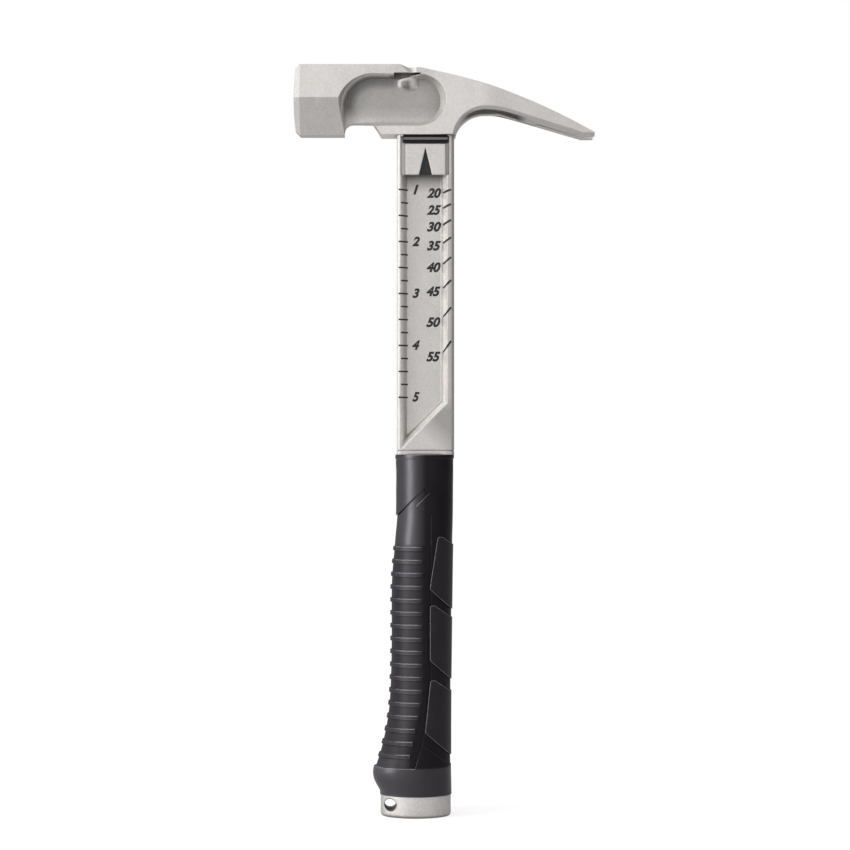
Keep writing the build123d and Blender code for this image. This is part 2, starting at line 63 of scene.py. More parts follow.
# Patches of painted light and shade on the cast metal: painted shade in the pocket, under
# the claw and in the channel, painted highlights on walls, rims and the lip. Each row is a
# strength and the spans that limit it. A span is an axis and the two places between which
# the patch comes up from none to full, or goes from one given factor to another. The axes
# x, z and depth, the distance from the middle plane, are in millimetres. Side, up and flat
# are the true normal's X, its Z and the size of its Y. Corner and slant are explained in
# head_axes and handle_axes.
POCKET_CORNER = (("x", -48, -45), ("x", -13, -16), ("z", 342, 348))
POCKET_WALL = (*POCKET_CORNER, ("flat", 0.7, 0.5), ("depth", 4.9, 5), ("depth", 10.5, 10.4))
HEAD_PAINTED_LIGHT = {
    "painted_shade": (
        # Painted shade on the floor of the pocket, darker towards the poll and lighter towards its
        # sill
        (0.95, ("flat", 0.7, 0.9), ("depth", 6.2, 5.3), ("x", -41.5, -40), ("x", 8.5, 7),
         ("z", 339, 348, 0.4, 1.0), ("x", -32, -44, 1.0, 1.7)),
        # Painted shade on the flank between the pocket and the claw
        (0.3, ("flat", 0.7, 0.9), ("x", -16, 6), ("x", 44, 22)),
    ),
    # Deeper painted shade
    "dark": (
        # Painted shadow in the arch under the claw
        (0.95, ("x", 16, 21), ("x", 50, 45), ("up", -0.1, -0.35), ("depth", 2, 4),
         ("depth", 14, 12)),
        # Painted shade on the poll side of the boss, dimming its lit side
        (0.72, ("x", -16, -14), ("x", -6.5, -8.5), ("z", 348.5, 350), ("z", 361.5, 360),
         ("depth", 5.8, 6.4), ("depth", 10.4, 9.8)),
        # Painted shade at the poll end of the nail starter
        (0.5, ("x", -18, -17), ("x", -11.5, -12.5), ("z", 361, 361.5), ("z", 367.5, 367),
         ("depth", 9.1, 8.5)),
        # Painted shadow at the foot of the pocket's upper wall, and on the floor beside it
        (0.4, *POCKET_WALL, ("depth", 8.6, 5.6)),
        (0.42, *POCKET_CORNER, ("flat", 0.7, 0.9), ("depth", 5.8, 5.4), ("corner", 8.6, 11.8)),
    ),
    "painted_highlight": (
        # Painted highlight on the claw end of the pocket
        (1.0, ("side", -0.5, -0.8), ("x", -2, 0), ("x", 11, 9)),
        # Painted highlight on the sill of the pocket
        (0.42, ("x", -36, -33), ("x", 7, 4), ("z", 333.5, 336), ("z", 344, 341.5),
         ("depth", 3.5, 4), ("depth", 10.1, 9.6)),
        # Painted highlights on the face of the lip, and on its underside
        (0.45, ("x", -26, -21), ("x", 6, 1), ("z", 332.7, 333.5), ("z", 340.3, 339.5),
         ("depth", 9.4, 10)),
        (1.0, ("x", -33.5, -33), ("x", -14, -14.5), ("z", 329.5, 330), ("z", 335, 334.5),
         ("up", -0.15, -0.3)),
        # Painted highlight on the rim of the pocket's upper wall
        (2.0, *POCKET_WALL, ("depth", 7.4, 10)),
    ),
}

CHANNEL_FLOOR = (
    ("depth", 6.5, 5.7), ("z", 189, 190), ("z", 315.2, 314.2),
    ("x", LEFT_FOOT - 1, LEFT_FOOT), ("x", RIGHT_FOOT + 1, RIGHT_FOOT))
CHANNEL_WALL = (("flat", 0.25, 0.35), ("flat", 0.8, 0.7))
LEFT_WALL = (*CHANNEL_WALL, ("side", 0.25, 0.4))
RIGHT_WALL = (*CHANNEL_WALL, ("side", -0.25, -0.4))
HANDLE_PAINTED_LIGHT = {
    "painted_shade": (
        # Painted shade on the channel's floor
        (0.1, *CHANNEL_FLOOR),
        # Painted shade at the feet of the channel's walls
        (0.3, *LEFT_WALL, ("depth", 8.4, 6.6)),
        (0.5, *RIGHT_WALL, ("depth", 7.4, 6.0)),
        # Painted shade on the claw side of the handle, most at its edge, and on the edge of the
        # other side
        (1.0, ("x", RIGHT_TOP - 0.8, RIGHT_TOP), ("x", 12.2, 13.2, 0.5, 0.9)),
        (0.3, ("x", -12.9, -13.4)),
        # Painted shade on the upper corner of the block that the channel ends at
        (1.0, ("slant", 186, 201), ("z", 156, 170), ("z", 213, 199), ("flat", 0.9, 0.97),
         ("depth", 9, 9.6)),
    ),
    # Deeper painted shade
    "dark": (
        # Painted shadow at the top of the channel, right under the pointer's plate
        (0.75, *CHANNEL_FLOOR, ("z", 306, 314)),
    ),
    "painted_highlight": (
        # Painted light on the upper parts of the channel's walls
        (1.0, *RIGHT_WALL, ("depth", 6.2, 7.6)),
        (1.3, *LEFT_WALL, ("depth", 7.6, 9.9)),
    ),
}


def srgb(code):
    """Linear colour with alpha from an sRGB hex code."""
    parts = [int(code[i:i + 2], 16) / 255 for i in (1, 3, 5)]
    linear = [
        part / 12.92 if part <= 0.04045 else ((part + 0.055) / 1.055) ** 2.4 for part in parts]
    return (*linear, 1.0)


def per_mm(size):
    """Scale of a pattern whose features are a number of millimetres across."""
    return 1000 / size


def add_node(tree, kind, inputs=None, **settings):
    """Add a shader node, set its properties, then fill or link its inputs.

    A node given for an input is linked by its first output.
    """
    node = tree.nodes.new(kind)
    for name, value in settings.items():
        setattr(node, name, value)
    for name, value in (inputs or {}).items():
        if isinstance(value, bpy.types.Node):
            value = value.outputs[0]
        if isinstance(value, bpy.types.NodeSocket):
            tree.links.new(value, node.inputs[name])
        else:
            node.inputs[name].default_value = value
    return node


def new_material(name):
    """Empty node material and the object coordinates that its patterns use."""
    material = bpy.data.materials.new(name)
    material.use_nodes = True
    tree = material.node_tree
    tree.nodes.clear()
    return material, tree, add_node(tree, "ShaderNodeTexCoord").outputs["Object"]


def mask(tree, axes, strength, *spans):
    """A strength times the spans of some axes, each held at its ends."""
    for axis, low, high, *ends in spans:
        first, last = ends or (0.0, 1.0)
        span = add_node(tree, "ShaderNodeMapRange", {
            "Value": axes[axis], "From Min": low, "From Max": high,
            "To Min": first, "To Max": last})
        strength = add_node(tree, "ShaderNodeMath", {0: strength, 1: span}, operation="MULTIPLY")
    return strength


def strongest(tree, masks):
    """The strongest one of several masks at each point."""
    most, *others = masks
    for other in others:
        most = add_node(tree, "ShaderNodeMath", {0: most, 1: other}, operation="MAXIMUM")
    return most


def edges(tree, radius):
    """Softened normal, mask of the outer edges and mask of the inner corners."""
    soft = add_node(tree, "ShaderNodeBevel", {"Radius": radius * MM}, samples=4)
    flat = add_node(tree, "ShaderNodeNewGeometry").outputs["Normal"]
    turn = add_node(tree, "ShaderNodeVectorMath", {0: soft, 1: flat}, operation="DOT_PRODUCT")
    room = add_node(tree, "ShaderNodeAmbientOcclusion", {"Distance": 3 * MM}, samples=6)
    axes = {"turn": turn.outputs["Value"], "space": room.outputs["AO"]}
    edge_wear_and_highlight = mask(tree, axes, 1.0, ("turn", 0.99, 0.88), ("space", 0.6, 0.85))
    return soft, edge_wear_and_highlight, mask(tree, axes, 1.0, ("space", 0.2, 0.8, 1.0, 0.0))


def skin_axes(tree, coords):
    """Axes that patches of painted light and shade lie on: places in millimetres and parts of the
    true normal.
    """
    in_mm = add_node(tree, "ShaderNodeVectorMath", {0: coords, "Scale": 1 / MM}, operation="SCALE")
    place = add_node(tree, "ShaderNodeSeparateXYZ", {"Vector": in_mm}).outputs
    normal = add_node(tree, "ShaderNodeNewGeometry").outputs["Normal"]
    facing = add_node(tree, "ShaderNodeSeparateXYZ", {"Vector": normal}).outputs
    return {
        "x": place["X"], "z": place["Z"], "side": facing["X"], "up": facing["Z"],
        "depth": add_node(tree, "ShaderNodeMath", {0: place["Y"]}, operation="ABSOLUTE"),
        "flat": add_node(tree, "ShaderNodeMath", {0: facing["Y"]}, operation="ABSOLUTE")}


def head_axes(tree, coords):
    """Axes of the head, with the distance from the pocket's round corner."""
    axes = skin_axes(tree, coords)
    past = add_node(tree, "ShaderNodeMath", {0: axes["x"], 1: -CORNER_X})
    corner = add_node(tree, "ShaderNodeCombineXYZ", {
        "X": add_node(tree, "ShaderNodeMath", {0: past, 1: 0.0}, operation="MINIMUM"),
        "Z": add_node(tree, "ShaderNodeMath", {0: axes["z"], 1: -CORNER_Z})})
    reach = add_node(tree, "ShaderNodeVectorMath", {0: corner}, operation="LENGTH")
    axes["corner"] = reach.outputs["Value"]
    return axes


def handle_axes(tree, coords):
    """Axes of the handle, with the slant that rises to the right and upwards."""
    axes = skin_axes(tree, coords)
    axes["slant"] = add_node(tree, "ShaderNodeMath", {0: axes["x"], 1: axes["z"]})
    return axes


# Investment-cast titanium, blasted with fine beads: satin grey, a faint sandy grain,
# slow cloudy changes of tone, edges lighter as partly rubbed and partly painted highlights,
# painted shade in corners and recesses, and patches of painted light and shade.
# The grain is drawn at 0.9 mm, coarser than the real one, so that it shows.
def cast_titanium(looks, name, softness, wear_and_highlight, painted_lift=1.0, painted_patches=None, find_axes=None):
    material, tree, coords = new_material(name)
    soft, edge_wear_and_highlight, painted_corner_shade = edges(tree, softness)
    grain = add_node(tree, "ShaderNodeTexNoise", {
        "Vector": coords, "Scale": per_mm(0.9), "Detail": 3.0, "Roughness": 0.7})
    cloud = add_node(tree, "ShaderNodeTexNoise", {
        "Vector": coords, "Scale": per_mm(9), "Detail": 5.0, "Roughness": 0.6})
    room = add_node(tree, "ShaderNodeAmbientOcclusion", {"Distance": 12 * MM}, samples=6)
    axes = {"grain": grain, "room": room.outputs["AO"]}
    tone = add_node(tree, "ShaderNodeMix", {
        0: cloud, 6: srgb(looks.metal_dark), 7: srgb(looks.metal_light)},
        data_type="RGBA").outputs[2]
    shade = mask(tree, axes, painted_lift, ("grain", 0.3, 0.7, 0.86, 1.08))
    # Painted light and shade: patches from the tables brighten or darken the tone
    if painted_patches:
        places = find_axes(tree, coords)
        for patch, rows in painted_patches.items():
            axes[patch] = strongest(tree, [mask(tree, places, *row) for row in rows])
        # The painted shade is stronger where the space around is tight
        axes["painted_shade"] = mask(tree, axes, axes["painted_shade"], ("room", 0.5, 0.9, 1.0, 0.6))
        shade = mask(
            tree, axes, shade, ("painted_highlight", 0.0, 2.0, 1.0, 1.6),
            ("painted_shade", 0.0, 1.0, 1.0, looks.skin_tone),
            ("dark", 0.0, 1.0, 1.0, looks.deep_skin_tone))
    shaded = add_node(tree, "ShaderNodeVectorMath", {0: tone, "Scale": shade}, operation="SCALE")
    # Edges lighten, partly as wear and partly as painted highlights
    worn_and_highlit = add_node(tree, "ShaderNodeMath", {0: edge_wear_and_highlight, 1: wear_and_highlight}, operation="MULTIPLY")
    rubbed_and_highlit = add_node(tree, "ShaderNodeMix", {
        0: worn_and_highlit, 6: shaded, 7: srgb(looks.metal_edge)}, data_type="RGBA").outputs[2]
    # Painted shade in inner corners and deep recesses
    corner = add_node(tree, "ShaderNodeMath", {0: painted_corner_shade, 1: 0.4}, operation="MULTIPLY")
    painted_recess_shade = mask(tree, axes, 0.75, ("room", 0.6, 0.1))
    colour = add_node(tree, "ShaderNodeMix", {
        0: strongest(tree, [corner, painted_recess_shade]), 6: rubbed_and_highlit, 7: srgb(looks.metal_corner)},
        data_type="RGBA").outputs[2]
    bump = add_node(tree, "ShaderNodeBump", {
        "Height": grain, "Distance": 0.05 * MM, "Strength": 0.6, "Normal": soft})
    surface = add_node(tree, "ShaderNodeBsdfPrincipled", {
        "Base Color": colour, "Metallic": 1.0, "Normal": bump,
        "Roughness": mask(tree, axes, 1.0, ("grain", 0.3, 0.7, 0.48, 0.6))})
    add_node(tree, "ShaderNodeOutputMaterial", {"Surface": surface})
    return material


# Plain steel, stamped or plated: even grey with a slight cloud and a fine uneven skin,
# drawn at 0.5 mm, coarser than the real one, so that it shows
def plain_steel(name, dark, light, roughness):
    material, tree, coords = new_material(name)
    soft = add_node(tree, "ShaderNodeBevel", {"Radius": 0.15 * MM}, samples=4)
    cloud = add_node(tree, "ShaderNodeTexNoise", {
        "Vector": coords, "Scale": per_mm(4), "Detail": 4.0, "Roughness": 0.6})
    grain = add_node(tree, "ShaderNodeTexNoise", {
        "Vector": coords, "Scale": per_mm(0.5), "Detail": 2.0, "Roughness": 0.6})
    colour = add_node(tree, "ShaderNodeMix", {
        0: cloud, 6: srgb(dark), 7: srgb(light)}, data_type="RGBA").outputs[2]
    bump = add_node(tree, "ShaderNodeBump", {
        "Height": grain, "Distance": 0.02 * MM, "Strength": 0.5, "Normal": soft})
    rough = mask(tree, {"cloud": cloud}, 1.0, ("cloud", 0.3, 0.7, roughness, roughness + 0.08))
    surface = add_node(tree, "ShaderNodeBsdfPrincipled", {
        "Base Color": colour, "Metallic": 1.0, "Roughness": rough, "Normal": bump})
    add_node(tree, "ShaderNodeOutputMaterial", {"Surface": surface})
    return material


def handled_rubber(tree, coords, soft, edge_wear_and_highlight, shine, rough):
    """Edges, shine and roughness of the sleeve: a painted sheen on the finger side and collar, less
    on its ribs, and painted highlights on its edges.
    """
    in_mm = add_node(tree, "ShaderNodeVectorMath", {0: coords, "Scale": 1 / MM}, operation="SCALE")
    place = add_node(tree, "ShaderNodeSeparateXYZ", {"Vector": in_mm}).outputs
    axes = {"x": place["X"], "z": place["Z"]}

    # Ribs: their zone, the distance past their ends, and the valleys between them
    rib_steps = add_node(tree, "ShaderNodeMapRange", {
        "Value": axes["z"], "From Min": RIB_FIRST, "From Max": RIB_FIRST + RIB_STEPS * RIB_PITCH,
        "To Min": 0.0, "To Max": RIB_STEPS})
    rib_end = add_node(tree, "ShaderNodeMapRange", {
        "Value": axes["z"], "From Min": RIB_FIRST, "From Max": 60.0,
        "To Min": -7.8, "To Max": -1.5})
    axes["off_rib"] = add_node(tree, "ShaderNodeMath", {0: rib_steps, 1: 0.5}, operation="PINGPONG")
    axes["past_end"] = add_node(tree, "ShaderNodeMath", {
        0: axes["x"], 1: rib_end}, operation="SUBTRACT")
    axes["zone"] = mask(tree, axes, 1.0, ("z", 24.5, 25.5), ("z", 134, 133))
    axes["valley"] = strongest(tree, [
        mask(tree, axes, axes["zone"], ("off_rib", 0.14, 0.18)),
        mask(tree, axes, axes["zone"], ("past_end", -0.3, 0.0))])

    # Painted sheen where the lamp's highlight falls: the finger side down to the collar, less in
    # the valleys and past the ribs' ends, and the collar, more to the left
    painted_finger_sheen = mask(
        tree, axes, 1.0, ("x", -13, -10, 0.6, 1.0), ("past_end", -3.9, 2.4, 1.0, 0.0),
        ("valley", 0.0, 1.0, 1.0, 0.7), ("zone", 0.0, 1.0, 1.0, 0.84), ("z", 24, 25))
    painted_collar_sheen = mask(tree, axes, 1.0, ("z", 25, 24), ("x", -16, 0, 1.3, 0.65))
    axes["painted_sheen"] = strongest(tree, [painted_finger_sheen, painted_collar_sheen])

    # Edges lighten, as wear and painted highlights, where the sheen is and where they look up, and
    # on the ribs most in a middle strip
    axes["up"] = add_node(tree, "ShaderNodeSeparateXYZ", {"Vector": soft}).outputs["Z"]
    axes["highlight_strip"] = mask(tree, axes, 1.0, ("x", -15.5, -12), ("x", -2.5, -6))
    axes["off_highlight_strip"] = mask(tree, axes, axes["zone"], ("highlight_strip", 0.0, 1.0, 0.8, 0.0))
    highlight_strip_gain = mask(tree, axes, 1.0, ("zone", 0.0, 1.0, 1.0, 2.2))
    edge_wear_and_highlight = mask(
        tree, axes, edge_wear_and_highlight, ("painted_sheen", 0.0, 0.8, 0.4, 1.0), ("up", 0.0, 0.4, 0.3, 1.0),
        ("off_highlight_strip", 0.0, 0.8, highlight_strip_gain, 0.3))
    shine = strongest(tree, [shine, axes["painted_sheen"]])
    rough = add_node(tree, "ShaderNodeMath", {
        0: axes["zone"], 1: 0.14, 2: rough}, operation="MULTIPLY_ADD")
    return edge_wear_and_highlight, shine, rough


# Thermoplastic rubber, injection moulded: near black with a very fine skin, matt, with a
# painted sheen on the sleeve where the lamp's highlight falls, and paler edges, partly wear
# and partly painted highlights. The skin is drawn at 0.8 mm, coarser than the real one, so that it
# shows.
def moulded_rubber(looks, name, softness, roughness, wear_and_highlight, shine, with_painted_sheen=False):
    material, tree, coords = new_material(name)
    soft, edge_wear_and_highlight, painted_corner_shade = edges(tree, softness)
    haze = add_node(tree, "ShaderNodeTexNoise", {
        "Vector": coords, "Scale": per_mm(14), "Detail": 4.0, "Roughness": 0.55})
    grain = add_node(tree, "ShaderNodeTexNoise", {
        "Vector": coords, "Scale": per_mm(0.8), "Detail": 2.0, "Roughness": 0.6})
    tone = add_node(tree, "ShaderNodeMix", {
        0: haze, 6: srgb(looks.rubber), 7: srgb(looks.rubber_lift)}, data_type="RGBA").outputs[2]
    shine = mask(tree, {"haze": haze}, 1.0, ("haze", 0.3, 0.7, shine, shine * 1.2))
    rough = mask(tree, {"haze": haze}, 1.0, ("haze", 0.3, 0.7, roughness, roughness + 0.08))
    if with_painted_sheen:
        edge_wear_and_highlight, shine, rough = handled_rubber(tree, coords, soft, edge_wear_and_highlight, shine, rough)
    # Painted shade: less sheen in inner corners
    shine = mask(tree, {"painted_corner_shade": painted_corner_shade}, shine, ("painted_corner_shade", 0.0, 1.0, 1.0, 0.1))
    # Edges lighten, partly as wear and partly as painted highlights
    worn_and_highlit = add_node(tree, "ShaderNodeMath", {0: edge_wear_and_highlight, 1: wear_and_highlight}, operation="MULTIPLY")
    colour = add_node(tree, "ShaderNodeMix", {
        0: worn_and_highlit, 6: tone, 7: srgb(looks.rubber_edge)}, data_type="RGBA").outputs[2]
    bump = add_node(tree, "ShaderNodeBump", {
        "Height": grain, "Distance": 0.03 * MM, "Strength": 0.5, "Normal": soft})
    surface = add_node(tree, "ShaderNodeBsdfPrincipled", {
        "Base Color": colour, "Roughness": rough, "Specular IOR Level": shine,
        "Specular Tint": srgb(looks.rubber_sheen), "Normal": bump})
    add_node(tree, "ShaderNodeOutputMaterial", {"Surface": surface})
    return material


# Black enamel of the marks: slightly uneven, with a satin surface
def mark_enamel(looks):
    material, tree, coords = new_material("black_enamel_marks")
    cover = add_node(tree, "ShaderNodeTexNoise", {
        "Vector": coords, "Scale": per_mm(1.2), "Detail": 4.0, "Roughness": 0.65})
    colour = add_node(tree, "ShaderNodeMix", {
        0: cover, 6: srgb(looks.enamel), 7: srgb(looks.enamel_thin)}, data_type="RGBA").outputs[2]
    bump = add_node(tree, "ShaderNodeBump", {
        "Height": cover, "Distance": 0.02 * MM, "Strength": 0.4})
    surface = add_node(tree, "ShaderNodeBsdfPrincipled", {
        "Base Color": colour, "Normal": bump,
        "Roughness": mask(tree, {"cover": cover}, 1.0, ("cover", 0.3, 0.7, 0.4, 0.55))})
    add_node(tree, "ShaderNodeOutputMaterial", {"Surface": surface})
    return material


def dress(name, material):
    """Give a node of the frame a finish in each of its slots."""
    mesh = nodes[name].data
    if not mesh.materials:
        mesh.materials.append(material)
    for index in range(len(mesh.materials)):
        mesh.materials[index] = material


def bar(start, end, facing, width, thickness):
    """Flat bar between two points in millimetres, on a surface that faces a direction."""
    start, end, out = Vector(start), Vector(end), Vector(facing).normalized()
    along = (end - start).normalized()
    turn = Matrix((along, out.cross(along), out)).transposed()
    bpy.ops.mesh.primitive_cube_add(
        size=1, location=(start + end) / 2 * MM, rotation=turn.to_euler(),
        scale=Vector(((end - start).length, width, thickness)) * MM)
    return bpy.context.object


def number(text, place, height, width):
    """Bold slanting figure with its middle at a place in millimetres, facing -Y, as a mesh."""
    bpy.ops.object.text_add(rotation=(radians(90), 0, 0))
    label = bpy.context.object
    label.data.body = text
    label.data.size = 7 * MM
    label.data.shear = 0.3
    label.data.offset = 0.32 * MM
    label.data.extrude = 0.04 * MM
    bpy.ops.object.convert(target="MESH")
    bpy.ops.object.origin_set(type="ORIGIN_GEOMETRY", center="BOUNDS")
    label.scale = (width * MM / label.dimensions.x, height * MM / label.dimensions.y, 1)
    label.location = Vector(place) * MM
    return label


def finish_piece(parts, name, material):
    """Join parts into one named piece that rides with the hammer."""
    bpy.ops.object.select_all(action="DESELECT")
    for part in parts:
        part.select_set(True)
    bpy.context.view_layer.objects.active = parts[0]
    if len(parts) > 1:
        bpy.ops.object.join()
    bpy.ops.object.transform_apply(location=True, rotation=True, scale=True)
    piece = bpy.context.object
    piece.name = name
    piece.data.materials.clear()
    piece.data.materials.append(material)
    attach(piece, "root")


class HammerLooks(bpy.types.PropertyGroup):
    metal_dark: bpy.props.StringProperty(
        name="Metal, dark", description="Darker tone of the blasted metal, sRGB hex",
        default="#CDC9C6")
    metal_light: bpy.props.StringProperty(
        name="Metal, light", description="Lighter tone of the blasted metal, sRGB hex",
        default="#DEDBD8")
    # Lighter edges of the metal, partly wear and partly painted highlight
    metal_edge: bpy.props.StringProperty(
        name="Metal edge", description="Rubbed edges of the metal, sRGB hex", default="#E6E4E2")
    # Colour of the painted shade in the metal's corners and recesses
    metal_corner: bpy.props.StringProperty(
        name="Metal corner", description="Dark skin left in corners, sRGB hex", default="#5A5654")
    # Brightness of the painted shade in the pockets and on the patches
    skin_tone: bpy.props.FloatProperty(
        name="Skin tone", description="Brightness of the cast skin left in pockets",
        default=0.36, min=0, max=1, subtype="FACTOR")
    # Brightness of the deeper painted shade
    deep_skin_tone: bpy.props.FloatProperty(
        name="Deep skin tone", description="Brightness of the skin left in deep places",
        default=0.1, min=0, max=1, subtype="FACTOR")
    rubber: bpy.props.StringProperty(
        name="Rubber", description="Grip rubber, sRGB hex", default="#161217")
    rubber_lift: bpy.props.StringProperty(
        name="Rubber, hazy", description="Hazy tone of the grip rubber, sRGB hex",
        default="#1F1B20")
    rubber_sheen: bpy.props.StringProperty(
        name="Rubber sheen", description="Tint of the rubber's sheen, sRGB hex", default="#FBF5FF")
    # Lighter edges of the rubber, partly wear and partly painted highlight
    rubber_edge: bpy.props.StringProperty(
        name="Rubber edge", description="Worn edges of the rubber, sRGB hex", default="#BAB6B9")
    enamel: bpy.props.StringProperty(
        name="Enamel", description="Black enamel of the marks, sRGB hex", default="#121011")
    enamel_thin: bpy.props.StringProperty(
        name="Enamel, thin", description="Thin spots of the enamel, sRGB hex", default="#1E1C1D")
    inch: bpy.props.FloatProperty(
        name="Inch", description="Step from one figure of the rule to the next",
        default=25.4 * MM, subtype="DISTANCE", unit="LENGTH")
    first_inch: bpy.props.FloatProperty(
        name="First inch", description="Height of the rule's first line",
        default=307.1 * MM, subtype="DISTANCE", unit="LENGTH")
    tick_width: bpy.props.FloatProperty(
        name="Tick width", description="Width of a line of the rule",
        default=0.75 * MM, subtype="DISTANCE", unit="LENGTH")
    mark_thickness: bpy.props.FloatProperty(
        name="Mark thickness", description="Thickness of the enamel",
        default=0.1 * MM, subtype="DISTANCE", unit="LENGTH")


class HAMMER_OT_finish_metal(bpy.types.Operator):
    """Give the cast pieces, the spacer and the magnet their finishes"""
    bl_idname = "hammer.finish_metal"
    bl_label = "Finish metal"

    def execute(self, context):
        looks = context.scene.hammer_looks
        dress("head", cast_titanium(
            looks, "cast_titanium_head", softness=0.35, wear_and_highlight=1.0,
            painted_patches=HEAD_PAINTED_LIGHT, find_axes=head_axes))
        dress("handle", cast_titanium(
            looks, "cast_titanium_handle", softness=1.0, wear_and_highlight=0.4,
            painted_patches=HANDLE_PAINTED_LIGHT, find_axes=handle_axes))
        # The cap's metal is painted 8 per cent lighter than the rest, as painted light
        dress("butt_cap", cast_titanium(
            looks, "cast_titanium_cap", softness=0.4, wear_and_highlight=0.8, painted_lift=1.08))
        dress("neck_spacer", plain_steel(
            "steel_stamped_dark", "#6E6B69", "#7D7A78", roughness=0.4))
        dress("nail_magnet", plain_steel(
            "nickel_plated_magnet", "#A5A29E", "#B7B4B0", roughness=0.3))
        return {"FINISHED"}


class HAMMER_OT_finish_rubber(bpy.types.Operator):
    """Give the grip, its pads and the neck pads their rubber finishes"""
    bl_idname = "hammer.finish_rubber"
    bl_label = "Finish rubber"

    def execute(self, context):
        looks = context.scene.hammer_looks
        # The sleeve carries a painted sheen band and painted highlights on its edges
        dress("grip_sleeve", moulded_rubber(
            looks, "thermoplastic_rubber_sleeve", softness=0.55, roughness=0.28, wear_and_highlight=1.0,
            shine=0.12, with_painted_sheen=True))
        pad = moulded_rubber(
            looks, "thermoplastic_rubber_pad", softness=0.5, roughness=0.4, wear_and_highlight=0.9, shine=0.3)
        for name in ("grip_panel_upper", "grip_panel_middle", "grip_panel_lower"):
            dress(name, pad)
        # Near-black pads at the neck, drawn for two near-black lines whose cause is not known
        neck = moulded_rubber(
            looks, "near_black_neck_pad", softness=0.2, roughness=0.45, wear_and_highlight=0.3, shine=0.15)
        for name in ("neck_pad_upper", "neck_pad_lower"):
            dress(name, neck)
        return {"FINISHED"}


class HAMMER_OT_inch_rule(bpy.types.Operator):
    """Add the lines and figures of the inch rule on the left wall of the channel"""
    bl_idname = "hammer.inch_rule"
    bl_label = "Inch rule"

    def execute(self, context):
        looks = context.scene.hammer_looks
        size = (looks.tick_width / MM, looks.mark_thickness / MM)
        first, inch = looks.first_inch / MM, looks.inch / MM
        out, slope = (0, -1, 0), (FLOOR_Y - FACE_Y, LEFT_TOP - LEFT_FOOT, 0)
        # A line each quarter of an inch, the halves and inches longer by a bit on the face
        on_face, on_floor = 1.2, 0.5
        lines = []
        for step in range(17):
            z = first - step * inch / 4
            edge, foot = (LEFT_TOP, FACE_Y, z), (LEFT_FOOT, FLOOR_Y, z)
            if step % 2 == 0:
                lines.append(bar((LEFT_TOP - on_face, FACE_Y, z), edge, out, *size))
            lines.append(bar(edge, foot, slope, *size))
            lines.append(bar(foot, (LEFT_FOOT + on_floor, FLOOR_Y, z), out, *size))
        enamel = mark_enamel(looks)
        finish_piece(lines, "rule_lines", enamel)
        # Each figure stands beside its inch line, with its middle a little higher
        figure_x, figure_rise = -4.66, 0.3
        widths = (2.7, 3.8, 3.6, 3.9, 3.7)
        figures = []
        for step, width in enumerate(widths):
            place = (figure_x, FLOOR_Y, first + figure_rise - step * inch)
            figures.append(number(str(step + 1), place, height=4.8, width=width))
        finish_piece(figures, "rule_figures", enamel)
        return {"FINISHED"}


class HAMMER_OT_angle_scale(bpy.types.Operator):
    """Add the lines and figures of the angle scale on the right wall of the channel"""
    bl_idname = "hammer.angle_scale"
    bl_label = "Angle scale"

    def execute(self, context):
        looks = context.scene.hammer_looks
        size = (1.3 * looks.tick_width / MM, looks.mark_thickness / MM)
        out, slope = (0, -1, 0), (FACE_Y - FLOOR_Y, RIGHT_FOOT - RIGHT_TOP, 0)
        # The lines point at one spot just under the tip of the claw. Seen from the side,
        # each reaches as far across the face as down the wall.
        aim_x, aim_z, half = 82.05, 332.4, 1.9
        low_y = FACE_Y + half * (FLOOR_Y - FACE_Y) / (RIGHT_TOP - RIGHT_FOOT)
        figure_middles = (
            (4.2, 305.7), (4.15, 297.4), (4.15, 289.2), (4.1, 279.9),
            (3.95, 269.3), (3.9, 257.5), (3.85, 242.4), (3.85, 225.5))
        lines, figures = [], []
        for angle, (x, z) in zip(range(20, 60, 5), figure_middles):
            rise = tan(radians(angle))
            edge = aim_z - (aim_x - RIGHT_TOP) * rise
            bend = (RIGHT_TOP, FACE_Y, edge)
            lines.append(bar(bend, (RIGHT_TOP + half, FACE_Y, edge + half * rise), out, *size))
            lines.append(bar((RIGHT_TOP - half, low_y, edge - half * rise), bend, slope, *size))
            figures.append(number(str(angle), (x, FLOOR_Y, z), height=4.9, width=7.0))
        enamel = bpy.data.materials["black_enamel_marks"]
        finish_piece(lines, "angle_lines", enamel)
        finish_piece(figures, "angle_figures", enamel)
        return {"FINISHED"}


class HAMMER_OT_pointers(bpy.types.Operator):
    """Fill the sunken pointer of the plate on both sides with enamel"""
    bl_idname = "hammer.pointers"
    bl_label = "Pointers"

    def execute(self, context):
        foot, height, width, thickness, sunken_y = 314.3, 13.2, 6.3, 0.2, 8.0
        # A cylinder of three sides and radius 1: its tip stands 1 above its middle, its
        # foot 0.5 below, and its foot is twice the sine of 60 degrees wide
        fills = []
        for y in (-sunken_y, sunken_y):
            bpy.ops.mesh.primitive_cylinder_add(
                vertices=3, radius=1, depth=1, location=(0, y * MM, (foot + height / 3) * MM),
                rotation=(radians(90), 0, 0),
                scale=(width / 2 / sin(radians(60)) * MM, height / 1.5 * MM, thickness * MM))
            fills.append(context.object)
        finish_piece(fills, "pointer_fills", bpy.data.materials["black_enamel_marks"])
        return {"FINISHED"}


